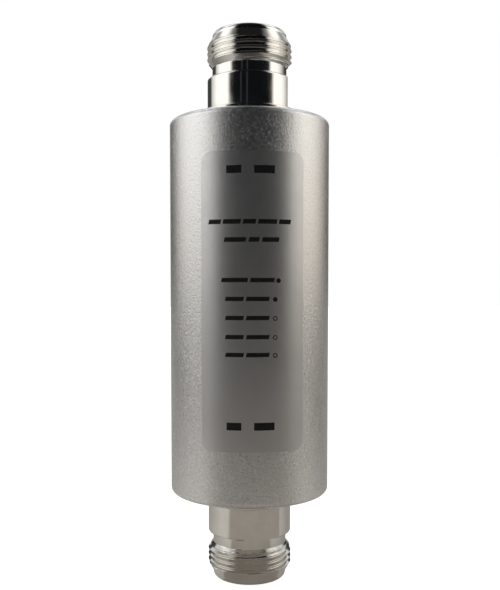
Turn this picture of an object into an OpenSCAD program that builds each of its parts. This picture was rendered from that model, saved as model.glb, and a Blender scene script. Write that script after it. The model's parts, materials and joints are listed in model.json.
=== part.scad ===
// In-line coaxial attenuator: a round aluminium body with a threaded
// coaxial jack on each end and the attenuating element inside.
// Millimetres, +Z along the axis, z = 0 on the lower jack's front rim.

/* [Body] */
// Outside diameter of the body
body_d = 30; // [30:0.5:34]
// Length of the body between its end faces
body_len = 70; // [68:1:90]
// Rounding of the body's two outer rims
rim_r = 1.0; // [0.3:0.1:1.2]
// Thickness of the body's closed end wall
wall_t = 8; // [8:0.5:9]

/* [Label] */
// Width of the label, measured straight across
label_w = 17.8; // [12:0.1:20]
// Height of the label
label_h = 52.2; // [40:0.1:54]
// Thickness of the label film
label_t = 0.12; // [0.08:0.01:0.2]
// Corner rounding of the label
label_corner = 1.6; // [0.5:0.1:3]
// Height of the label's centre above the body's middle
label_up = 1.2; // [-2:0.1:2]
// Turn of the label about the axis, degrees
label_turn = 2.4; // [-10:0.1:10]

/* [Jacks] */
// Major diameter of the coupling thread
thread_d = 15.88; // [15.7:0.01:15.95]
// Reach of each jack beyond the body
jack_len = 16.6; // [16.4:0.1:17.2]
// Diameter of the collar next to the body
collar_d = 18; // [17.6:0.1:19]
// Diameter of the plain shoulder
shoulder_d = 15.8; // [15.4:0.1:15.9]
// Distance of the wrench flat from the axis
flat_dist = 7.05; // [7.02:0.01:7.4]
// Diameter of the neck behind the thread
neck_d = 13.96; // [13.5:0.02:14]
// Diameter of the plain lip in front of the thread
lip_d = 13.9; // [13.7:0.1:14.3]
// Direction of the upper wrench flat, degrees from +X
upper_flat_deg = 0; // [-180:1:180]
// Direction of the lower wrench flat, degrees from +X
lower_flat_deg = -72; // [-180:1:180]
// Diameter of the mouth
mouth_d = 8.1; // [8.03:0.01:8.2]
// Depth of the mouth
mouth_depth = 9.1; // [9:0.05:9.2]

/* [Contacts] */
// Outside diameter of the centre contact
contact_d = 3.04; // [3:0.01:3.1]
// Diameter of the contact's socket
socket_d = 1.66; // [1.6:0.01:1.7]
// Depth of the contact's tip behind the front rim
tip_depth = 4.2; // [4.15:0.05:4.6]
// Depth of the socket
socket_depth = 5; // [4:0.1:5.5]
// Width of the contact's slots
slot_w = 0.24; // [0.2:0.01:0.25]
// Diameter of the contact's rear pin
pin_d = 1.3; // [1.2:0.05:1.3]

/* [Hidden] */
$fn = 96;
eps = 0.01;

// stations along the axis
z_bot = jack_len;                 // lower end face of the body
z_top = z_bot + body_len;         // upper end face of the body
z_mid = z_bot + body_len / 2;

// bores of the body
shank_r = 6.5;
cap_r = 12.5;
cap_t = 8;                        // plug's web
skirt_t = 2;                      // plug's skirt
cav_r = 11;
cav_lo = z_bot + cap_t + skirt_t;
cav_hi = z_top - wall_t;
cav_mid = (cav_lo + cav_hi) / 2;

// jack stations, measured from the body's end face
collar_h = 1.8;
shoulder_h = 7.9;
neck_h = 9.8;
thread_lo = 11;
thread_hi = 13.8;
lip_h = 15.5;
ref_h = jack_len - mouth_depth;   // bottom of the mouth
tip_h = jack_len - tip_depth;
bead_h = 3;                       // bead's shoulder
bead_r = 4.8;
bead_back = -3;
nose_r = 3.5;
seal_r = 0.6;
seal_c = 7.6;
pin_back = -14;

// plug seal
plug_seal_r = 0.9;
plug_seal_c = cap_r - plug_seal_r;
plug_seal_z = z_bot + 6;

// chassis stations
carrier_r = 10.9;
board_y = pin_d / 2;              // the boards' component face
board_t = 0.8;
flat_y = board_y + board_t;       // the chassis flat
board_hw = 8;
chip_half = 3.1;
chip_t = 1;
flange_t = 1.5;
flange_hl = 9.5;
flange_hw = 3.2;
flange_y = board_y + chip_t;      // the flange's front face
board_gap = flange_hw + 0.1;
up_lo = cav_mid + board_gap;
up_hi = cav_hi - 0.5;
dn_lo = cav_lo + 0.5;
dn_hi = cav_mid - board_gap;
up_mid = (up_lo + up_hi) / 2;
dn_mid = (dn_lo + dn_hi) / 2;
choke_x = -4.5;
choke_r = 1.7;
core_r = 0.9;
choke_len = 6;

// points along a rounded corner
function arc(cx, cy, r, a0, a1, n) =
    [for (i = [0:n]) let (a = a0 + (a1 - a0) * i / n) [cx + r * cos(a), cy + r * sin(a)]];

// a ring of round section about the axis
module o_ring(c, r) {
    rotate_extrude() translate([c, 0]) circle(r, $fn = 48);
}

// a box given by its two corners
module block(lo, hi) {
    translate(lo) cube([hi[0] - lo[0], hi[1] - lo[1], hi[2] - lo[2]]);
}

// puts a jack's piece on the upper or the lower end of the body
module on_top(a = 0) { translate([0, 0, z_top]) rotate([0, 0, a]) children(); }
module on_bottom(a = 0) { translate([0, 0, z_bot]) rotate([0, 0, a]) rotate([180, 0, 0]) children(); }

// turned shell of one jack, its flat towards +X
module jack_shell() {
    difference() {
        rotate_extrude() polygon(concat(
            [[0, -wall_t], [shank_r - 0.4, -wall_t], [shank_r, -wall_t + 0.4], [shank_r, 0]],
            [[collar_d / 2, 0]],
            arc(collar_d / 2 - 0.2, collar_h - 0.2, 0.2, 0, 90, 4),
            [[shoulder_d / 2, collar_h]],
            arc(shoulder_d / 2 - 0.4, shoulder_h - 0.4, 0.4, 0, 90, 6),
            [[neck_d / 2, shoulder_h], [neck_d / 2, neck_h],
             [thread_d / 2, thread_lo], [thread_d / 2, thread_hi], [lip_d / 2, lip_h]],
            arc(lip_d / 2 - 0.85, jack_len - 0.85, 0.85, 0, 90, 8),
            [[0, jack_len]]));
        // single wrench flat between the collar and the neck
        block([flat_dist, -9, collar_h], [10, 9, shoulder_h + eps]);
        // mouth with its lead-in
        translate([0, 0, ref_h]) cylinder(h = mouth_depth + 1, r = mouth_d / 2);
        translate([0, 0, jack_len - 0.45]) cylinder(h = 0.5, r1 = mouth_d / 2, r2 = mouth_d / 2 + 0.5);
        // bore of the outer conductor and seat of the bead
        translate([0, 0, bead_h - eps]) cylinder(h = ref_h - bead_h + 2 * eps, r = nose_r);
        translate([0, 0, -wall_t - 1]) cylinder(h = bead_h + wall_t + 1, r = bead_r);
        // groove of the seal in the collar's underside
        translate([0, 0, -1]) difference() {
            cylinder(h = 1 + 2 * seal_r, r = seal_c + 0.7);
            translate([0, 0, -1]) cylinder(h = 4, r = seal_c - 0.7);
        }
    }
}

module jack_seal() { translate([0, 0, seal_r]) o_ring(seal_c, seal_r); }

// bead with a nose that reaches the bottom of the mouth
module jack_insulator() {
    difference() {
        union() {
            translate([0, 0, bead_back]) cylinder(h = bead_h - bead_back, r = bead_r);
            translate([0, 0, bead_h - eps]) cylinder(h = ref_h - 0.1 - bead_h + eps, r = nose_r);
        }
        translate([0, 0, bead_back - 1]) cylinder(h = 20, r = contact_d / 2);
    }
}

// slotted socket in front, pin behind
module jack_contact() {
    difference() {
        union() {
            translate([0, 0, bead_back]) cylinder(h = tip_h - bead_back, r = contact_d / 2);
            translate([0, 0, pin_back]) cylinder(h = bead_back - pin_back + eps, r = pin_d / 2);
        }
        translate([0, 0, tip_h - socket_depth]) cylinder(h = socket_depth + 1, r = socket_d / 2);
        for (a = [0, 90])
            rotate([0, 0, a + 45])
                block([-3, -slot_w / 2, tip_h - socket_depth + 0.6], [3, slot_w / 2, tip_h + 1]);
    }
}

// ring pressed in behind the bead
module jack_bush() {
    translate([0, 0, -wall_t]) difference() {
        cylinder(h = wall_t + bead_back, r = bead_r);
        translate([0, 0, -1]) cylinder(h = wall_t, r = 3);
    }
}

// small pan-head screw that drives along +Y, its seat at y = 0
module pan_screw(shank, head, head_h, len) {
    rotate([-90, 0, 0]) {
        translate([0, 0, -eps]) cylinder(h = len + eps, r = shank);
        difference() {
            rotate_extrude() polygon(concat([[0, 0], [head, 0]],
                arc(head - 0.4, -head_h + 0.4, 0.4, 0, -90, 4), [[0, -head_h]]));
            translate([0, 0, -head_h - eps]) cylinder(h = 0.7, r = head * 0.5, $fn = 6);
        }
    }
}

module housing() {
    color("silver") difference() {
        rotate_extrude($fn = 128) polygon(concat(
            [[0, z_bot]],
            arc(body_d / 2 - rim_r, z_bot + rim_r, rim_r, -90, 0, 8),
            arc(body_d / 2 - rim_r, z_top - rim_r, rim_r, 0, 90, 8),
            [[0, z_top]]));
        translate([0, 0, z_bot - 1]) cylinder(h = cap_t + skirt_t + 1, r = cap_r);
        translate([0, 0, cav_lo - 1]) cylinder(h = cav_hi - cav_lo + 1, r = cav_r);
        translate([0, 0, cav_hi - 1]) cylinder(h = wall_t + 2, r = shank_r);
    }
}

module label() {
    lz = z_mid + label_up;
    color("gainsboro") rotate([0, 0, label_turn]) intersection() {
        difference() {
            translate([0, 0, lz - label_h]) cylinder(h = 2 * label_h, r = body_d / 2 + label_t);
            translate([0, 0, lz - label_h - 1]) cylinder(h = 2 * label_h + 2, r = body_d / 2);
        }
        union() {
            block([-label_w / 2, -20, lz - label_h / 2 + label_corner],
                  [label_w / 2, 0, lz + label_h / 2 - label_corner]);
            block([-label_w / 2 + label_corner, -20, lz - label_h / 2],
                  [label_w / 2 - label_corner, 0, lz + label_h / 2]);
            for (sx = [-1, 1], sz = [-1, 1])
                translate([sx * (label_w / 2 - label_corner), 0, lz + sz * (label_h / 2 - label_corner)])
                    rotate([90, 0, 0]) cylinder(h = 20, r = label_corner, $fn = 48);
        }
    }
}

// plug in the open end of the body, with two holes for a pin spanner
module end_cap() {
    color("silver") difference() {
        translate([0, 0, z_bot]) cylinder(h = cap_t + skirt_t, r = cap_r);
        translate([0, 0, z_bot + cap_t]) cylinder(h = skirt_t + 1, r = 9);
        translate([0, 0, z_bot - 1]) cylinder(h = cap_t + 2, r = shank_r);
        translate([0, 0, plug_seal_z - 1]) difference() {
            cylinder(h = 2, r = cap_r + 1);
            translate([0, 0, -1]) cylinder(h = 4, r = cap_r - 2 * plug_seal_r);
        }
        for (sx = [-1, 1])
            translate([sx * 10.9, 0, z_bot - 1]) cylinder(h = 4, r = 0.9, $fn = 32);
    }
}

module end_cap_seal() { color("dimgray") translate([0, 0, plug_seal_z]) o_ring(plug_seal_c, plug_seal_r); }

module upper_connector_shell() { color("lightgray") on_top(upper_flat_deg) jack_shell(); }
module lower_connector_shell() { color("lightgray") on_bottom(lower_flat_deg) jack_shell(); }
module upper_connector_seal() { color("dimgray") on_top() jack_seal(); }
module lower_connector_seal() { color("dimgray") on_bottom() jack_seal(); }
module upper_insulator() { color("white") on_top() jack_insulator(); }
module lower_insulator() { color("white") on_bottom() jack_insulator(); }
module upper_center_contact() { color("goldenrod") on_top() jack_contact(); }
module lower_center_contact() { color("goldenrod") on_bottom() jack_contact(); }
module upper_retaining_bush() { color("lightgray") on_top() jack_bush(); }
module lower_retaining_bush() { color("lightgray") on_bottom() jack_bush(); }

// half-round chassis with a pocket for the element's flange
module carrier() {
    color("gainsboro") difference() {
        translate([0, 0, cav_lo]) cylinder(h = cav_hi - cav_lo, r = carrier_r);
        block([-20, -20, cav_lo - 1], [20, flat_y, cav_hi + 1]);
        block([-20, 0, cav_mid - flange_hw - 0.1], [20, flange_y + flange_t, cav_mid + flange_hw + 0.1]);
        for (sx = [-1, 1])
            translate([sx * 7.3, flange_y, cav_mid]) rotate([-90, 0, 0]) cylinder(h = 5, r = 1.25, $fn = 32);
        for (sx = [-1, 1], z = [dn_mid, up_mid])
            translate([sx * 6, 0, z]) rotate([-90, 0, 0]) cylinder(h = 6, r = 1, $fn = 32);
    }
}

module board(lo, hi) {
    difference() {
        block([-board_hw, board_y, lo], [board_hw, flat_y, hi]);
        for (sx = [-1, 1])
            translate([sx * 6, 0, (lo + hi) / 2]) rotate([-90, 0, 0]) cylinder(h = 6, r = 1.1, $fn = 32);
    }
}
module upper_board() { color("olivedrab") board(up_lo, up_hi); }
module lower_board() { color("olivedrab") board(dn_lo, dn_hi); }

module chip_flange() {
    color("peru") difference() {
        block([-flange_hl, flange_y, cav_mid - flange_hw], [flange_hl, flange_y + flange_t, cav_mid + flange_hw]);
        for (sx = [-1, 1])
            translate([sx * 7.3, 0, cav_mid]) rotate([-90, 0, 0]) cylinder(h = 9, r = 1.35, $fn = 32);
    }
}

module attenuator_chip() {
    color("whitesmoke") block([-chip_half, board_y, cav_mid - chip_half], [chip_half, flange_y, cav_mid + chip_half]);
}

module chip_cover() {
    color("linen") block([-2.6, board_y - 1, cav_mid - 2.1], [2.6, board_y, cav_mid + 2.1]);
}

module chip_tabs() {
    color("goldenrod") for (s = [-1, 1])
        translate([0, 0, cav_mid]) mirror([0, 0, s < 0 ? 1 : 0])
            block([-0.6, board_y - 0.12, 2.2], [0.6, board_y, 5.6]);
}

module flange_screws() {
    color("lightgray") for (sx = [-1, 1])
        translate([sx * 7.3, flange_y, cav_mid]) pan_screw(1.25, 2.1, 1.5, 4.8);
}

module board_screws() {
    color("lightgray") for (sx = [-1, 1], z = [dn_mid, up_mid])
        translate([sx * 6, board_y, z]) pan_screw(1, 1.8, 1.3, 5);
}

// series capacitors in the middle of each line
module blocking_capacitors() {
    color("tan") for (z = [dn_mid, up_mid])
        block([-1.25, board_y - 1.6, z - 1.6], [1.25, board_y, z + 1.6]);
}

// shunt capacitors beside the chokes' outer ends
module bypass_capacitors() {
    color("tan") for (z = [dn_lo + 3, up_hi - 3])
        block([3.4, board_y - 0.8, z - 1], [4.65, board_y, z + 1]);
}

module choke_cores() {
    color("dimgray") for (z = [dn_hi - 5.2, up_lo + 5.2])
        translate([choke_x + 1.4, board_y - choke_r, z - choke_len / 2 - 0.6]) cylinder(h = choke_len + 1.2, r = core_r, $fn = 48);
}

// coil round each core, with two short legs down to the board
module choke_windings() {
    color("chocolate") for (z = [dn_hi - 5.2, up_lo + 5.2])
        translate([choke_x + 1.4, board_y - choke_r, z]) {
            difference() {
                translate([0, 0, -choke_len / 2]) cylinder(h = choke_len, r = choke_r, $fn = 64);
                translate([0, 0, -choke_len]) cylinder(h = 2 * choke_len, r = core_r, $fn = 48);
            }
            for (s = [-1, 1])
                translate([-choke_r + 0.25, 0, s * (choke_len / 2 - 0.4)])
                    rotate([-90, 0, 0]) cylinder(h = choke_r, r = 0.25, $fn = 24);
        }
}

module bypass_link() {
    color("firebrick") translate([choke_x - 0.05, board_y - 0.4, cav_mid - 5.2]) cylinder(h = 10.4, r = 0.4, $fn = 32);
}

housing();
label();
end_cap();
end_cap_seal();
upper_connector_shell();
lower_connector_shell();
upper_connector_seal();
lower_connector_seal();
upper_insulator();
lower_insulator();
upper_center_contact();
lower_center_contact();
upper_retaining_bush();
lower_retaining_bush();
carrier();
upper_board();
lower_board();
chip_flange();
attenuator_chip();
chip_cover();
chip_tabs();
flange_screws();
board_screws();
blocking_capacitors();
bypass_capacitors();
choke_cores();
choke_windings();
bypass_link();
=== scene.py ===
"""Looks of an in-line coaxial attenuator: bead-blasted body, silver label film, bright plated jacks.
All lengths below are in millimetres until they reach a mesh, where they become metres."""
import json
import math

import bmesh
import bpy
import numpy as np
from mathutils import Matrix, Vector


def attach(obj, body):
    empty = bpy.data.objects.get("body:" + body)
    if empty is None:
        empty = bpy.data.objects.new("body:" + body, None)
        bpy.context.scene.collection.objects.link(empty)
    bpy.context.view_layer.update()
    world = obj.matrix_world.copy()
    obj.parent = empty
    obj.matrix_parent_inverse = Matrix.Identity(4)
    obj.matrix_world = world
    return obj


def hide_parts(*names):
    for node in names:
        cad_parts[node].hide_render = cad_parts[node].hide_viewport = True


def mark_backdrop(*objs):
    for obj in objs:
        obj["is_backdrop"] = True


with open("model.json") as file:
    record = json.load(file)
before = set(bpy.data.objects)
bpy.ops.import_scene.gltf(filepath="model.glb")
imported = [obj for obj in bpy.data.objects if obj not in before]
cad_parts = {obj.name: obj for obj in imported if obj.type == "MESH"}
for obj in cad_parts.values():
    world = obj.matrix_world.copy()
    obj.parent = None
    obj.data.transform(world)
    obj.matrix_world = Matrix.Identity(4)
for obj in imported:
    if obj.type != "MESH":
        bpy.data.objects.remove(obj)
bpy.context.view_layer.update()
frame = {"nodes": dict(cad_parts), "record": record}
nodes = frame["nodes"]
MM = 0.001

# ---------------------------------------------------------------- stations of the object
BODY_R, RIM_R = 15.0, 1.0
Z_BOT, Z_TOP = 16.6, 86.6
Z_MID = (Z_BOT + Z_TOP) / 2
CAP_R, CAV_R, SHANK_R = 12.5, 11.0, 6.5
CAV_LO, CAV_HI = Z_BOT + 10, Z_TOP - 8
LABEL_T = 0.12
PITCH = 25.4 / 24
JACK = 16.6


# ---------------------------------------------------------------- mesh helpers
def rounded(points, pad=0.06):
    """A closed outline from corners (x, y, radius): arcs at the corners, and on each straight run a point close to either end,
    so that smooth shading stays flat on it."""
    n = len(points)
    cut, arcs = [], []
    for i in range(n):
        p = np.array(points[i][:2], float)
        a = np.array(points[i - 1][:2], float)
        b = np.array(points[(i + 1) % n][:2], float)
        rad = points[i][2] if len(points[i]) > 2 else 0.0
        da, db = a - p, b - p
        la, lb = np.linalg.norm(da), np.linalg.norm(db)
        da, db = da / la, db / lb
        if rad <= 0:
            arcs.append([p])
            continue
        half = math.acos(max(-1, min(1, float(da @ db)))) / 2
        room = [0.45 if len(q) > 2 and q[2] > 0 else 0.9 for q in (points[i - 1], points[(i + 1) % n])]
        t = min(rad / math.tan(half), room[0] * la, room[1] * lb)
        r = t * math.tan(half)
        mid = da + db
        mid = mid / np.linalg.norm(mid)
        c = p + mid * (r / math.sin(half))
        s, e = p + da * t - c, p + db * t - c
        turn = math.atan2(s[0] * e[1] - s[1] * e[0], float(s @ e))
        k = max(3, int(math.ceil(abs(turn) / math.radians(11))))
        a0 = math.atan2(s[1], s[0])
        arcs.append([c + r * np.array([math.cos(a0 + turn * j / k), math.sin(a0 + turn * j / k)]) for j in range(k + 1)])
    out = []
    for i in range(n):
        out += arcs[i]
        s, e = arcs[i][-1], arcs[(i + 1) % n][0]
        length = np.linalg.norm(e - s)
        if length > 6 * pad:
            d = (e - s) / length
            out += [s + d * pad, e - d * pad]
    return [(float(p[0]), float(p[1])) for p in out]


def mesh_object(name, verts, faces, mat, sharp=28, weld=0.0):
    """A smooth-shaded mesh object from millimetre vertices, with edges over the angle kept sharp."""
    me = bpy.data.meshes.new(name)
    me.from_pydata([tuple(c * MM for c in v) for v in verts], [], faces)
    if weld > 0:
        bm = bmesh.new()
        bm.from_mesh(me)
        bmesh.ops.remove_doubles(bm, verts=bm.verts, dist=weld * MM)
        bmesh.ops.dissolve_degenerate(bm, edges=bm.edges, dist=weld * MM * 0.5)
        bmesh.ops.recalc_face_normals(bm, faces=bm.faces)
        bm.to_mesh(me)
        bm.free()
    me.update()
    me.polygons.foreach_set("use_smooth", [True] * len(me.polygons))
    me.set_sharp_from_angle(angle=math.radians(sharp))
    me.materials.append(mat)
    ob = bpy.data.objects.new(name, me)
    bpy.context.scene.collection.objects.link(ob)
    return ob


def turned(outline, cols):
    """Vertices and faces of a closed (r, z) outline turned about the axis."""
    verts, faces = [], []
    n = len(outline)
    for r, z in outline:
        for j in range(cols):
            a = 2 * math.pi * j / cols
            verts.append((r * math.cos(a), r * math.sin(a), z))
    for i in range(n):
        k = (i + 1) % n
        for j in range(cols):
            m = (j + 1) % cols
            faces.append((i * cols + j, i * cols + m, k * cols + m, k * cols + j))
    return verts, faces


def place(ob, body="root", node=None):
    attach(ob, body)
    if node:
        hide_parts(node)
    return ob


# ---------------------------------------------------------------- material helpers
def new_material(name):
    mat = bpy.data.materials.new(name)
    mat.use_nodes = True
    nt = mat.node_tree
    nt.nodes.clear()
    out = nt.nodes.new("ShaderNodeOutputMaterial")
    bsdf = nt.nodes.new("ShaderNodeBsdfPrincipled")
    nt.links.new(bsdf.outputs[0], out.inputs[0])
    return mat, nt, bsdf


def coords(nt, scale=(1, 1, 1)):
    tc = nt.nodes.new("ShaderNodeTexCoord")
    mp = nt.nodes.new("ShaderNodeMapping")
    mp.inputs["Scale"].default_value = scale
    nt.links.new(tc.outputs["Object"], mp.inputs["Vector"])
    return mp.outputs["Vector"]


def noise(nt, vec, scale, detail=2.0, rough=0.5):
    nd = nt.nodes.new("ShaderNodeTexNoise")
    nd.inputs["Scale"].default_value = scale
    nd.inputs["Detail"].default_value = detail
    nd.inputs["Roughness"].default_value = rough
    nt.links.new(vec, nd.inputs["Vector"])
    return nd.outputs["Fac"]


def ramp(nt, fac, stops):
    nd = nt.nodes.new("ShaderNodeValToRGB")
    cr = nd.color_ramp
    while len(cr.elements) > 1:
        cr.elements.remove(cr.elements[-1])
    cr.elements[0].position = stops[0][0]
    cr.elements[0].color = (*stops[0][1], 1)
    for pos, col in stops[1:]:
        cr.elements.new(pos).color = (*col, 1)
    nt.links.new(fac, nd.inputs["Fac"])
    return nd.outputs["Color"]


def spread(nt, fac, lo, hi, a=0.3, b=0.7):
    nd = nt.nodes.new("ShaderNodeMapRange")
    nd.inputs["From Min"].default_value = a
    nd.inputs["From Max"].default_value = b
    nd.inputs["To Min"].default_value = lo
    nd.inputs["To Max"].default_value = hi
    nt.links.new(fac, nd.inputs["Value"])
    return nd.outputs["Result"]


def math_node(nt, op, a, b=None, c=None):
    nd = nt.nodes.new("ShaderNodeMath")
    nd.operation = op
    for i, v in enumerate((a, b, c)):
        if v is None:
            continue
        if isinstance(v, (int, float)):
            nd.inputs[i].default_value = v
        else:
            nt.links.new(v, nd.inputs[i])
    return nd.outputs[0]


def bump(nt, height, strength, distance, normal=None):
    nd = nt.nodes.new("ShaderNodeBump")
    nd.inputs["Strength"].default_value = strength
    nd.inputs["Distance"].default_value = distance
    nt.links.new(height, nd.inputs["Height"])
    if normal is not None:
        nt.links.new(normal, nd.inputs["Normal"])
    return nd.outputs["Normal"]


# ---------------------------------------------------------------- materials
def blasted_aluminium():
    mat, nt, b = new_material("blasted_aluminium_look")
    v = coords(nt)
    grain = noise(nt, v, 2700, 2.0, 0.5)
    pits = noise(nt, v, 5200, 2.0, 0.5)
    cloud = noise(nt, v, 120, 3.0, 0.55)
    mix = math_node(nt, "ADD", math_node(nt, "MULTIPLY", grain, 0.9), math_node(nt, "MULTIPLY", cloud, 0.1))
    col = ramp(nt, mix, [(0.28, (0.60, 0.60, 0.596)), (0.42, (0.758, 0.758, 0.753)), (0.58, (0.812, 0.812, 0.807)), (0.72, (1.0, 1.0, 0.995))])
    nt.links.new(col, b.inputs["Base Color"])
    b.inputs["Metallic"].default_value = 1.0
    nt.links.new(spread(nt, mix, 0.35, 0.46, 0.47, 0.66), b.inputs["Roughness"])
    n1 = bump(nt, grain, 0.42, 0.00008)
    n2 = bump(nt, pits, 0.25, 0.00003, n1)
    nt.links.new(n2, b.inputs["Normal"])
    return mat


def label_film():
    mat, nt, b = new_material("label_film_look")
    v = coords(nt)
    fine = noise(nt, v, 1500, 3.0, 0.6)
    cloud = noise(nt, v, 90, 2.0, 0.5)
    col = ramp(nt, cloud, [(0.35, (0.660, 0.664, 0.670)), (0.65, (0.708, 0.711, 0.717))])
    nt.links.new(col, b.inputs["Base Color"])
    b.inputs["Metallic"].default_value = 0.9
    nt.links.new(spread(nt, fine, 0.34, 0.40), b.inputs["Roughness"])
    nt.links.new(bump(nt, fine, 0.14, 0.00003), b.inputs["Normal"])
    return mat


def print_ink():
    mat, nt, b = new_material("print_ink_look")
    v = coords(nt)
    fine = noise(nt, v, 2500, 2.0, 0.6)
    col = ramp(nt, fine, [(0.35, (0.010, 0.010, 0.011)), (0.65, (0.022, 0.022, 0.023))])
    nt.links.new(col, b.inputs["Base Color"])
    nt.links.new(spread(nt, fine, 0.50, 0.62), b.inputs["Roughness"])
    b.inputs["Specular IOR Level"].default_value = 0.25
    return mat


def nickel_plate():
    mat, nt, b = new_material("nickel_plate_look")
    rings = noise(nt, coords(nt, (60, 60, 9000)), 1.0, 3.0, 0.6)
    cloud = noise(nt, coords(nt), 260, 3.0, 0.6)
    col = ramp(nt, cloud, [(0.35, (0.745, 0.725, 0.685)), (0.65, (0.805, 0.785, 0.745))])
    nt.links.new(col, b.inputs["Base Color"])
    b.inputs["Metallic"].default_value = 1.0
    nt.links.new(spread(nt, cloud, 0.07, 0.13), b.inputs["Roughness"])
    nt.links.new(bump(nt, rings, 0.05, 0.00002), b.inputs["Normal"])
    return mat


def simple(name, low, high, metallic, r_lo, r_hi, scale, height, dist=0.00002, stretch=(1, 1, 1), subsurface=0.0):
    """A procedural finish with a noise-driven colour, roughness and bump."""
    mat, nt, b = new_material(name)
    v = coords(nt, stretch)
    f = noise(nt, v, scale, 3.0, 0.6)
    nt.links.new(ramp(nt, f, [(0.33, low), (0.67, high)]), b.inputs["Base Color"])
    b.inputs["Metallic"].default_value = metallic
    nt.links.new(spread(nt, f, r_lo, r_hi), b.inputs["Roughness"])
    nt.links.new(bump(nt, f, height, dist), b.inputs["Normal"])
    if subsurface:
        b.inputs["Subsurface Weight"].default_value = subsurface
        b.inputs["Subsurface Radius"].default_value = (0.002, 0.002, 0.002)
        b.inputs["Subsurface Scale"].default_value = 0.4
    return mat


MAT = {
    "blasted_aluminium": blasted_aluminium(),
    "label_film": label_film(),
    "nickel_plate": nickel_plate(),
    "seal_rubber": simple("seal_rubber_look", (0.012, 0.012, 0.012), (0.03, 0.03, 0.03), 0.0, 0.55, 0.75, 900, 0.2),
    "white_dielectric": simple("white_dielectric_look", (0.80, 0.80, 0.78), (0.90, 0.90, 0.885), 0.0, 0.38, 0.52, 700, 0.12, subsurface=0.15),
    "gold_plate": simple("gold_plate_look", (0.90, 0.63, 0.24), (0.97, 0.74, 0.34), 1.0, 0.12, 0.22, 1200, 0.06),
    "carrier_aluminium": simple("carrier_aluminium_look", (0.62, 0.62, 0.63), (0.78, 0.78, 0.79), 1.0, 0.28, 0.42, 1.0, 0.2, stretch=(6000, 6000, 300)),
    "board_laminate": simple("board_laminate_look", (0.055, 0.13, 0.05), (0.085, 0.19, 0.075), 0.0, 0.35, 0.5, 1800, 0.15),
    "copper": simple("copper_look", (0.70, 0.34, 0.20), (0.86, 0.48, 0.32), 1.0, 0.2, 0.34, 1500, 0.1),
    "chip_ceramic": simple("chip_ceramic_look", (0.74, 0.74, 0.70), (0.86, 0.86, 0.83), 0.0, 0.5, 0.68, 2500, 0.15),
    "screw_steel": simple("screw_steel_look", (0.48, 0.48, 0.49), (0.62, 0.62, 0.63), 1.0, 0.22, 0.38, 2000, 0.1),
    "capacitor_ceramic": simple("capacitor_ceramic_look", (0.30, 0.19, 0.10), (0.42, 0.28, 0.16), 0.0, 0.4, 0.55, 2200, 0.12),
    "ferrite": simple("ferrite_look", (0.016, 0.016, 0.018), (0.034, 0.034, 0.036), 0.0, 0.55, 0.7, 2400, 0.2),
    "wire_sleeve": simple("wire_sleeve_look", (0.30, 0.016, 0.014), (0.40, 0.028, 0.024), 0.0, 0.28, 0.4, 1800, 0.08),
}
INK = print_ink()

for part in frame["record"]["subparts"]:
    ob = nodes[part["node"]]
    ob.data.materials.clear()
    ob.data.materials.append(MAT[part["material_slot"]])

# ---------------------------------------------------------------- body
outline = rounded([
    (BODY_R, Z_BOT, RIM_R), (BODY_R, Z_TOP, RIM_R),
    (SHANK_R, Z_TOP, 0), (SHANK_R, CAV_HI, 0), (CAV_R, CAV_HI, 0), (CAV_R, CAV_LO, 0),
    (CAP_R, CAV_LO, 0), (CAP_R, Z_BOT, 0),
])
v, f = turned(outline, 320)
body = place(mesh_object("body_shell", v, f, MAT["blasted_aluminium"]), node="housing")


# ---------------------------------------------------------------- label film and its print
def on_body(s, z, r):
    """A point at arc length s (to the right of the front line), height z, on radius r."""
    a = s / BODY_R
    return (r * math.sin(a), -r * math.cos(a), z)


LABEL_HW, LABEL_HH, LABEL_C = 8.9, 26.1, 1.6
LABEL_Z, LABEL_TURN = Z_MID + 1.2, math.radians(2.4)


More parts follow.
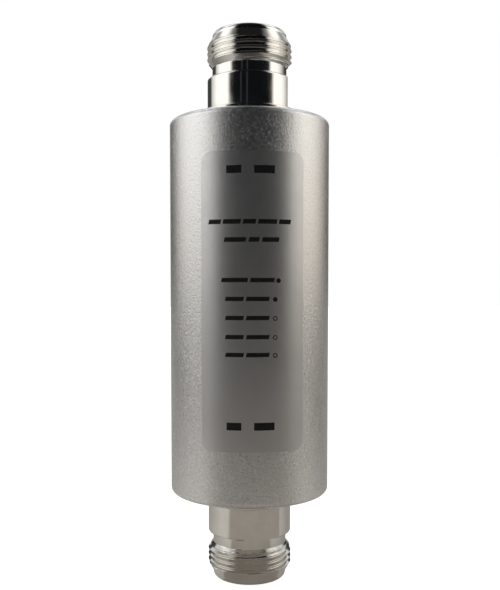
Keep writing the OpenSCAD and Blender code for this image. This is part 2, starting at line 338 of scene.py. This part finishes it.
def label_mesh():
    zs = []
    k = 12
    for i in range(k + 1):
        zs.append(-LABEL_HH + LABEL_C - LABEL_C * math.cos(math.pi / 2 * i / k))
    zs += list(np.linspace(-LABEL_HH + LABEL_C, LABEL_HH - LABEL_C, 40)[1:-1])
    for i in range(k + 1):
        zs.append(LABEL_HH - LABEL_C + LABEL_C * math.sin(math.pi / 2 * i / k))
    cols = 48
    verts, faces = [], []
    rows = len(zs)

    def half_width(z):
        d = abs(z) - (LABEL_HH - LABEL_C)
        if d <= 0:
            return LABEL_HW
        return LABEL_HW - LABEL_C + math.sqrt(max(LABEL_C ** 2 - d * d, 0))

    for layer, (r, inset) in enumerate(((BODY_R, 0.0), (BODY_R + LABEL_T - 0.03, 0.0), (BODY_R + LABEL_T, 0.03))):
        for z in zs:
            zz = max(-LABEL_HH + inset, min(LABEL_HH - inset, z))
            w = half_width(z) - inset
            for j in range(cols + 1):
                x = w * math.sin(math.pi / 2 * (2 * j / cols - 1))
                a = math.asin(x / BODY_R) + LABEL_TURN
                verts.append(on_body(a * BODY_R, LABEL_Z + zz, r))
    size = rows * (cols + 1)

    def vid(layer, i, j):
        return layer * size + i * (cols + 1) + j

    for i in range(rows - 1):
        for j in range(cols):
            faces.append((vid(2, i, j), vid(2, i, j + 1), vid(2, i + 1, j + 1), vid(2, i + 1, j)))
            faces.append((vid(0, i, j), vid(0, i + 1, j), vid(0, i + 1, j + 1), vid(0, i, j + 1)))
    for lo, hi in ((0, 1), (1, 2)):
        for j in range(cols):
            faces.append((vid(lo, 0, j), vid(lo, 0, j + 1), vid(hi, 0, j + 1), vid(hi, 0, j)))
            faces.append((vid(lo, rows - 1, j), vid(hi, rows - 1, j), vid(hi, rows - 1, j + 1), vid(lo, rows - 1, j + 1)))
        for i in range(rows - 1):
            faces.append((vid(lo, i, 0), vid(hi, i, 0), vid(hi, i + 1, 0), vid(lo, i + 1, 0)))
            faces.append((vid(lo, i, cols), vid(lo, i + 1, cols), vid(hi, i + 1, cols), vid(hi, i, cols)))
    return verts, faces


v, f = label_mesh()
label = place(mesh_object("label_sheet", v, f, MAT["label_film"], sharp=40), node="label")

INK_R0, INK_R1 = BODY_R + LABEL_T - 0.01, BODY_R + LABEL_T + 0.012
ink_v, ink_f = [], []


def ink_patch(top_edge, bottom_edge):
    """A thin raised patch between two lists of (s, z) points of equal length."""
    n = len(top_edge)
    base = len(ink_v)
    for r in (INK_R0, INK_R1):
        for edge in (bottom_edge, top_edge):
            for s, z in edge:
                ink_v.append(on_body(s, z, r))

    def vid(layer, edge, i):
        return base + (layer * 2 + edge) * n + i

    for i in range(n - 1):
        ink_f.append((vid(1, 0, i), vid(1, 0, i + 1), vid(1, 1, i + 1), vid(1, 1, i)))
        ink_f.append((vid(0, 0, i), vid(0, 1, i), vid(0, 1, i + 1), vid(0, 0, i + 1)))
        ink_f.append((vid(0, 0, i), vid(0, 0, i + 1), vid(1, 0, i + 1), vid(1, 0, i)))
        ink_f.append((vid(0, 1, i), vid(1, 1, i), vid(1, 1, i + 1), vid(0, 1, i + 1)))
    ink_f.append((vid(0, 0, 0), vid(1, 0, 0), vid(1, 1, 0), vid(0, 1, 0)))
    ink_f.append((vid(0, 0, n - 1), vid(0, 1, n - 1), vid(1, 1, n - 1), vid(1, 0, n - 1)))


def bar(s0, s1, z, h, slant=0.0):
    n = max(2, int(math.ceil((s1 - s0) / 0.3)) + 1)
    shift = slant * h / 2
    top = [(s0 + (s1 - s0) * i / (n - 1) + shift, z + h / 2) for i in range(n)]
    low = [(s0 + (s1 - s0) * i / (n - 1) - shift, z - h / 2) for i in range(n)]
    ink_patch(top, low)


def disc(s, z, r):
    k = 20
    half = [math.pi * i / k for i in range(k + 1)]
    ink_patch([(s - r * math.cos(a), z + r * math.sin(a)) for a in half[1:-1]],
              [(s - r * math.cos(a), z - r * math.sin(a)) for a in half[1:-1]])


def ring(s, z, r, w):
    k = 16
    for sgn in (1, -1):
        half = [math.pi * i / k for i in range(k + 1)]
        a_edge = [(s - r * math.cos(a), z + sgn * r * math.sin(a)) for a in half]
        b_edge = [(s - (r - w) * math.cos(a), z + sgn * (r - w) * math.sin(a)) for a in half]
        if sgn > 0:
            ink_patch(a_edge, b_edge)
        else:
            ink_patch(b_edge, a_edge)


def dashes(s0, z, h, widths, gap=0.2, slant=0.21):
    """A run of short bars; a negative width is a wider space."""
    s = s0
    for w in widths:
        if w < 0:
            s -= w
            continue
        bar(s, s + w, z, h, slant)
        s += w + gap
    return s - gap


for zc in (24.1, -20.3):
    dashes(-4.0, Z_MID + zc, 1.35, (2.6, -2.0, 3.6), gap=0.2, slant=0.0)
dashes(-7.3, Z_MID + 15.2, 0.8, (2.3, 3.1, 2.2, 3.3, 2.2), gap=0.4)
dashes(-4.4, Z_MID + 12.1, 0.8, (3.8, 1.8, 3.0), gap=0.5)
for i, zc in enumerate((5.15, 1.9, -1.4, -4.7, -7.8)):
    if i == 0:
        dashes(-4.9, Z_MID + zc, 0.75, (4.6, 4.2), gap=0.45)
        disc(5.1, Z_MID + zc - 0.1, 0.42)
    else:
        dashes(-4.2, Z_MID + zc, 0.75, (3.2, 4.0), gap=0.45)
        if i == 1:
            disc(4.5, Z_MID + zc - 0.1, 0.42)
        else:
            ring(4.5, Z_MID + zc - 0.1, 0.42, 0.16)
printed = place(mesh_object("label_print", ink_v, ink_f, INK, sharp=30))


# ---------------------------------------------------------------- jacks
FLAT = 7.05
COLS = 288
A_LOW, A_HIGH = math.acos(FLAT / 7.9), math.acos(FLAT / 7.5)
FLAT_SHARE = 24 / (COLS / 2)


def col_angle(j, a):
    """Angle of column j from -pi to pi, with the flat's two edges on columns."""
    u = 2 * j / COLS - 1
    s = abs(u)
    t = a * s / FLAT_SHARE if s <= FLAT_SHARE else a + (math.pi - a) * (s - FLAT_SHARE) / (1 - FLAT_SHARE)
    return math.copysign(t, u)


def envelope(h):
    pts = ((9.8, 6.98), (11.0, 7.94), (13.8, 7.94), (15.5, 6.95))
    if h <= pts[0][0]:
        return pts[0][1]
    for (h0, r0), (h1, r1) in zip(pts, pts[1:]):
        if h <= h1:
            return r0 + (r1 - r0) * (h - h0) / (h1 - h0)
    return pts[-1][1]


R_CREST, R_ROOT = 7.94, 7.30
CREST, ROOT = 0.0625, 0.417
SLOPE = (R_ROOT - R_CREST) / (ROOT - CREST)


def thread_radius(u):
    """Radius of the thread's form at phase u of one turn, the crest at 0, its corners eased."""
    u = abs((u + 0.5) % 1.0 - 0.5)
    r = R_CREST if u <= CREST else R_ROOT if u >= ROOT else R_CREST + SLOPE * (u - CREST)
    for c, ds, w in ((CREST, SLOPE, 0.03), (ROOT, -SLOPE, 0.05)):
        d = u - c
        if abs(d) < w:
            r = (R_CREST if c == CREST else R_CREST + SLOPE * (u - CREST)) + ds * (d + w) ** 2 / (4 * w)
    return r


PHASES = sorted({0.0, 0.0325, 0.0475, 0.0625, 0.0775, 0.0925, 0.16, 0.24, 0.32, 0.367, 0.392, 0.417, 0.442, 0.467, 0.5,
                 0.533, 0.558, 0.583, 0.608, 0.633, 0.68, 0.76, 0.84, 0.9075, 0.9225, 0.9375, 0.9525, 0.9675})
H_LO, H_HI = 9.7, 15.6
FADE_LO, FADE_HI = 13.7, 14.6
COLLAR_H = 1.8


def jack_mesh(start):
    """One jack's shell in its own frame: h along +Z from the body's face, the flat towards +X; start is the thread's phase."""
    verts, faces = [], []

    def grid(rows, width, wrap):
        base = len(verts)
        for row in rows:
            verts.extend(row)
        for i in range(len(rows) - 1):
            for j in range(width if wrap else width - 1):
                m = (j + 1) % width
                faces.append((base + i * width + j, base + i * width + m, base + (i + 1) * width + m, base + (i + 1) * width + j))

    def ring_row(r, h, a, cut):
        row = []
        for j in range(COLS):
            t = col_angle(j, a)
            q = r
            if cut and abs(t) < 1.2:
                q = min(q, FLAT / math.cos(t))
            row.append((q * math.cos(t), q * math.sin(t), h))
        return row

    full = rounded([
        (4.8, -8, 0), (6.1, -8, 0.05), (6.5, -7.6, 0.05), (6.5, 0, 0), (6.9, 0, 0), (6.9, 1.2, 0.1), (8.3, 1.2, 0.1), (8.3, 0, 0),
        (9.0, 0, 0.08), (9.0, COLLAR_H, 0.2), (7.9, COLLAR_H, 0.1), (7.9, 7.9, 0.4), (6.98, 7.9, 0.05), (6.98, H_LO, 0),
        (6.98, H_LO + 0.5, 0), (6.95, H_HI - 0.5, 0),
        (6.95, H_HI, 0), (6.95, 16.6, 0.85), (4.55, 16.6, 0.12), (4.05, 16.15, 0.1), (4.05, 7.5, 0), (3.5, 7.5, 0), (3.5, 3, 0), (4.8, 3, 0),
    ], pad=0.04)
    i_lo = min(range(len(full)), key=lambda i: abs(full[i][0] - 6.98) + abs(full[i][1] - H_LO))
    i_hi = min(range(len(full)), key=lambda i: abs(full[i][0] - 6.95) + abs(full[i][1] - H_HI))
    before, after = full[: i_lo + 1], full[i_hi:] + full[:1]

    rows, a, seen = [], A_LOW, False
    for r, h in before:
        cut = COLLAR_H + 1e-6 < h < 7.9 + 1e-6 and r > FLAT + 1e-6
        if cut:
            a = math.acos(min(1, FLAT / r))
            if not seen:
                seen = True
                rows.append(ring_row(r, COLLAR_H, a, True))
        elif seen:
            a = A_HIGH
        rows.append(ring_row(r, h, a, cut))
    grid(rows, COLS, True)

    rows = []
    turns = int(math.ceil((H_HI - H_LO) / PITCH)) + 2
    for k in range(-1, turns):
        for ph in PHASES:
            row = []
            for j in range(COLS + 1):
                t = col_angle(j, A_HIGH)
                h = H_LO + PITCH * (k + ph + t / (2 * math.pi) + start)
                h = max(H_LO, min(H_HI, h))
                u = (h - H_LO) / PITCH - t / (2 * math.pi) - start
                s = max(0.0, min(1.0, (FADE_HI - h) / (FADE_HI - FADE_LO)))
                depth = (R_CREST - thread_radius(u)) * s * s * (3 - 2 * s)
                r = min(envelope(h), R_CREST - depth)
                row.append((r * math.cos(t), r * math.sin(t), h))
            rows.append(row)
    grid(rows, COLS + 1, False)

    a = A_HIGH
    grid([ring_row(r, h, a if h > 7.5 + 1e-6 else A_LOW, False) for r, h in after], COLS, True)
    return verts, faces


def on_end(verts, upper, turn_deg):
    c, s = math.cos(math.radians(turn_deg)), math.sin(math.radians(turn_deg))
    out = []
    for x, y, h in verts:
        if not upper:
            y, h = -y, -h
        out.append((x * c - y * s, x * s + y * c, (Z_TOP if upper else Z_BOT) + h))
    return out


v, f = jack_mesh(0.2)
upper_jack = place(mesh_object("upper_jack", on_end(v, True, 0), f, MAT["nickel_plate"], sharp=24, weld=0.0004),
                   node="upper_connector_shell")
v, f = jack_mesh(0.12)
lower_jack = place(mesh_object("lower_jack", on_end(v, False, -72), f, MAT["nickel_plate"], sharp=24, weld=0.0004),
                   node="lower_connector_shell")


# ---------------------------------------------------------------- coils of the chokes
CHOKE_X, CHOKE_Y, CHOKE_Z = -3.1, -1.05, 8.5
COIL_R, WIRE_R, LEG_R = 1.3, 0.38, 0.25
TURNS, STEPS = 6, 36


def tube(path, ups, radius, sides=12):
    """Vertices and faces of a capped tube along a path, with a direction for the section at each point."""
    verts, faces = [], []
    pts = [Vector(p) for p in path]
    n = len(pts)
    for i in range(n):
        t = (pts[min(i + 1, n - 1)] - pts[max(i - 1, 0)]).normalized()
        u = Vector(ups[i])
        u = (u - u.dot(t) * t).normalized()
        w = t.cross(u)
        for j in range(sides):
            a = 2 * math.pi * j / sides
            verts.append(tuple(pts[i] + radius * (math.cos(a) * u + math.sin(a) * w)))
    for i in range(n - 1):
        for j in range(sides):
            k = (j + 1) % sides
            faces.append((i * sides + j, i * sides + k, (i + 1) * sides + k, (i + 1) * sides + j))
    faces.append(tuple(range(sides - 1, -1, -1)))
    faces.append(tuple((n - 1) * sides + j for j in range(sides)))
    return verts, faces


coil_v, coil_f = [], []


def add_coil(verts, faces):
    base = len(coil_v)
    coil_v.extend(verts)
    coil_f.extend(tuple(i + base for i in face) for face in faces)


for side in (-1, 1):
    zc = (CAV_LO + CAV_HI) / 2 + side * CHOKE_Z
    path, ups = [], []
    for i in range(-2, STEPS * TURNS + 3):
        t = math.pi + 2 * math.pi * i / STEPS
        path.append((CHOKE_X + COIL_R * math.cos(t), CHOKE_Y + COIL_R * math.sin(t), zc - 2.55 + 5.1 * i / (STEPS * TURNS)))
        ups.append((math.cos(t), math.sin(t), 0.0))
    add_coil(*tube(path, ups, WIRE_R))
    for end in (-2.6, 2.6):
        leg = [(CHOKE_X - 1.45, CHOKE_Y + d, zc + end) for d in (0.0, 1.695)]
        add_coil(*tube(leg, [(1.0, 0.0, 0.0)] * 2, LEG_R))

coils = place(mesh_object("choke_coils", coil_v, coil_f, MAT["copper"], sharp=50), node="choke_windings")


# ---------------------------------------------------------------- stage, light, camera
def stage_plane(name, half, z, mat):
    me = bpy.data.meshes.new(name)
    me.from_pydata([(-half, -half, z), (half, -half, z), (half, half, z), (-half, half, z)], [], [(0, 1, 2, 3)])
    me.materials.append(mat)
    ob = bpy.data.objects.new(name, me)
    bpy.context.scene.collection.objects.link(ob)
    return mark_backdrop(ob) or ob


def only_camera(ob):
    ob.visible_diffuse = ob.visible_glossy = ob.visible_transmission = ob.visible_shadow = ob.visible_volume_scatter = False


# pale floor
mat, nt, b = new_material("floor_look")
fl = noise(nt, coords(nt), 30, 3.0, 0.5)
nt.links.new(ramp(nt, fl, [(0.3, (0.86, 0.86, 0.86)), (0.7, (0.88, 0.88, 0.88))]), b.inputs["Base Color"])
b.inputs["Roughness"].default_value = 0.9
b.inputs["Specular IOR Level"].default_value = 0.0
b.inputs["Emission Color"].default_value = (1, 1, 1, 1)
b.inputs["Emission Strength"].default_value = 0.85
floor = stage_plane("floor", 3.0, 0.0, mat)
only_camera(floor)


def deg(d):
    return (d + 180) / 360


def grey(vv):
    return (vv, vv, vv)


def tint(col, k):
    return tuple(c * k for c in col)


def mixed(nt, fac, a, b):
    nd = nt.nodes.new("ShaderNodeMix")
    nd.data_type = "RGBA"
    nt.links.new(fac, nd.inputs["Factor"])
    for i, c in ((6, a), (7, b)):
        if isinstance(c, tuple):
            nd.inputs[i].default_value = (*c, 1)
        else:
            nt.links.new(c, nd.inputs[i])
    return nd.outputs[2]


def azimuth(nt, sep):
    """0 to 1 round the vertical axis, 0.5 straight to the front, less to the left."""
    az = math_node(nt, "ARCTAN2", sep.outputs["X"], math_node(nt, "MULTIPLY", sep.outputs["Y"], -1.0))
    return math_node(nt, "MULTIPLY_ADD", az, 1 / (2 * math.pi), 0.5)


# grey sheet under it, seen only in the part's reflections, glowing with painted light and shade: painted shade darker
# to the front, paler to the sides where painted light falls, darker again far out, and darker round the foot as a
# painted contact shadow
mat, nt, b = new_material("sheet_look")
sep = nt.nodes.new("ShaderNodeSeparateXYZ")
spot = coords(nt)
nt.links.new(spot, sep.inputs[0])
SH_FRONT, SH_SIDE, SH_BACK = (0.36, 0.333, 0.302), (0.62, 0.60, 0.565), (0.33, 0.32, 0.305)
turn = azimuth(nt, sep)
# painted shade and light round the axis: the sheet is coloured darker to the front and back, paler to the sides
around = ramp(nt, turn, [
    (deg(-180), SH_BACK), (deg(-150), SH_BACK), (deg(-138), tint(SH_SIDE, 0.58)), (deg(-104), tint(SH_SIDE, 0.82)), (deg(-80), SH_SIDE),
    (deg(-57), SH_SIDE), (deg(-50), SH_FRONT), (deg(59), SH_FRONT), (deg(66), tint(SH_SIDE, 0.83)), (deg(92), tint(SH_SIDE, 0.80)),
    (deg(118), tint(SH_SIDE, 0.57)), (deg(150), SH_BACK), (deg(180), SH_BACK)])
far = nt.nodes.new("ShaderNodeVectorMath")
far.operation = "LENGTH"
nt.links.new(spot, far.inputs[0])
# painted falloff of light: from 6 to 31 cm out the sheet is mixed up to nine tenths towards black, except behind
fade = spread(nt, far.outputs["Value"], 0.0, 0.90, 0.06, 0.31)
fade = math_node(nt, "MULTIPLY", fade, ramp(nt, turn, [(deg(-145), grey(0.0)), (deg(-115), grey(1.0)), (deg(115), grey(1.0)), (deg(145), grey(0.0))]))
sheet_painted_shade = mixed(nt, fade, around, (0.0, 0.0, 0.0))
# painted contact shadow: within 16 mm of the axis the sheet is mixed a quarter towards black, fading out by 34 mm
sheet_painted_shade = mixed(nt, spread(nt, far.outputs["Value"], 0.24, 0.0, 0.016, 0.034), sheet_painted_shade, (0.0, 0.0, 0.0))
nt.links.new(sheet_painted_shade, b.inputs["Base Color"])
# the sheet glows in the same painted colour: painted light from a surface that is no lamp
nt.links.new(sheet_painted_shade, b.inputs["Emission Color"])
b.inputs["Emission Strength"].default_value = 0.52
b.inputs["Roughness"].default_value = 0.9
b.inputs["Specular IOR Level"].default_value = 0.0
sheet = stage_plane("sheet", 3.0, -0.0002, mat)
sheet.visible_camera = False

# backdrop that only the camera sees
mat, nt, b = new_material("backdrop_look")
b.inputs["Base Color"].default_value = (0, 0, 0, 1)
b.inputs["Specular IOR Level"].default_value = 0.0
b.inputs["Emission Color"].default_value = (1, 1, 1, 1)
b.inputs["Emission Strength"].default_value = 1.0
bm = bmesh.new()
bmesh.ops.create_uvsphere(bm, u_segments=48, v_segments=24, radius=2.5)
me = bpy.data.meshes.new("backdrop")
bm.to_mesh(me)
bm.free()
me.materials.append(mat)
backdrop = bpy.data.objects.new("backdrop", me)
bpy.context.scene.collection.objects.link(backdrop)
only_camera(backdrop)
mat.cycles.emission_sampling = "NONE"

# studio light as a world of soft panels: left and right panels, dark front, grey back, soft top
world = bpy.data.worlds.new("studio")
bpy.context.scene.world = world
world.use_nodes = True
nt = world.node_tree
nt.nodes.clear()
out = nt.nodes.new("ShaderNodeOutputWorld")
bg = nt.nodes.new("ShaderNodeBackground")
nt.links.new(bg.outputs[0], out.inputs[0])
tc = nt.nodes.new("ShaderNodeTexCoord")
sep = nt.nodes.new("ShaderNodeSeparateXYZ")
nt.links.new(tc.outputs["Generated"], sep.inputs[0])

LEFT, RIGHT = (0.955, 0.922, 0.87), (0.97, 0.885, 0.765)
PALE_L, PALE_R = (0.94, 0.94, 0.935), (0.95, 0.943, 0.93)
DARK, BACK, GAP, STRIP = (0.003, 0.0033, 0.004), grey(0.2), grey(0.035), grey(0.06)


def panels(nt, fac, l0, l1, r0, r1, level, rear, strips=(), cols=(LEFT, RIGHT), back=BACK, front=DARK):
    """Left and right panels round the vertical axis, with their front edges between l0, l1 and r0, r1 degrees."""
    lit, lit_r = tint(cols[0], level), tint(cols[1], level)
    stops = [
        (deg(-180), back), (deg(-168), back), (deg(-162), GAP), (deg(-131), GAP), (deg(-123), tint(lit, 0.5)), (deg(-115), tint(lit, 0.72)),
        (deg(-100), lit), (deg(l0), lit), (deg(l1), front)]
    for c in strips:
        stops += [(deg(c - 1.4), front), (deg(c), STRIP), (deg(c + 1.4), front)]
    stops += [
        (deg(r0), front), (deg(r1), lit_r), (deg(94), lit_r), (deg(107), tint(lit_r, rear[0])), (deg(117), tint(lit_r, rear[1])),
        (deg(128), tint(lit_r, rear[2])), (deg(138), GAP), (deg(162), GAP), (deg(168), back), (deg(180), back)]
    return ramp(nt, fac, stops)


around = azimuth(nt, sep)
height = sep.outputs["Z"]
# near the floor the panels stand a little further round to the front, and fade
side = panels(nt, around, -54, -43, 53, 63, 1.12, (0.88, 0.64, 0.36), back=grey(1.6), front=(0.010, 0.0147, 0.0205))
lift = ramp(nt, spread(nt, height, 0.0, 1.0, -0.1, 0.3), [(0.1, grey(0.43)), (0.34, grey(0.57)), (0.6, grey(0.74)), (0.82, grey(1.0))])
side = mixed(nt, lift, (0.0, 0.0, 0.0), side)
side = mixed(nt, spread(nt, height, 0.0, 1.0, 0.205, 0.22), side, panels(
    nt, around, -62, -53, 62, 71, 0.88, (0.8, 0.52, 0.22), (-23, -6.5), (PALE_L, PALE_R)))
# above the panels' middle only their front halves are lit
middle = ramp(nt, around, [
    (deg(-180), BACK), (deg(-168), BACK), (deg(-161), grey(0.45)), (deg(-112), grey(0.45)), (deg(-102), tint(PALE_L, 0.7)), (deg(-95), tint(PALE_L, 1.1)),
    (deg(-55), tint(PALE_L, 1.1)), (deg(-43), DARK), (deg(52), DARK), (deg(64), tint(PALE_R, 1.1)), (deg(95), tint(PALE_R, 1.1)),
    (deg(102), tint(PALE_R, 0.7)), (deg(112), grey(0.45)), (deg(161), grey(0.45)), (deg(168), BACK), (deg(180), BACK)])
middle = mixed(nt, spread(nt, height, 0.0, 0.45, 0.46, 0.62), middle, (0.0, 0.0, 0.0))
side = mixed(nt, spread(nt, height, 0.0, 1.0, 0.31, 0.36), side, middle)
# higher up they are softer and reach round to the back
high = ramp(nt, around, [
    (deg(-180), grey(0.30)), (deg(-170), grey(0.30)), (deg(-155), tint(PALE_L, 0.95)), (deg(-110), tint(PALE_L, 0.92)), (deg(-95), tint(PALE_L, 0.26)),
    (deg(-62), tint(PALE_L, 0.26)), (deg(-52), DARK), (deg(59), DARK), (deg(69), tint(PALE_R, 0.26)), (deg(95), tint(PALE_R, 0.26)),
    (deg(110), tint(PALE_R, 0.92)), (deg(155), tint(PALE_R, 0.95)), (deg(170), grey(0.30)), (deg(180), grey(0.30))])
high = mixed(nt, spread(nt, height, 0.0, 1.0, 0.88, 0.94), high, (0.008, 0.008, 0.008))
nt.links.new(mixed(nt, spread(nt, height, 0.0, 1.0, 0.68, 0.76), side, high), bg.inputs["Color"])
bg.inputs["Strength"].default_value = 1.6

cam_data = bpy.data.cameras.new("camera")
cam_data.sensor_width = 36.0
cam_data.lens = 785.3 / 590 * 36.0
cam_data.shift_x = 0.545 / 590
cam_data.shift_y = 34.3 / 590
cam_data.clip_start = 0.01
camera = bpy.data.objects.new("camera", cam_data)
camera.location = (0, -0.1504, 0.05499)
camera.rotation_euler = (math.pi / 2 - 0.0497, 0, 0)
bpy.context.scene.collection.objects.link(camera)
bpy.context.scene.camera = camera
bpy.context.scene.view_settings.view_transform = "Standard"
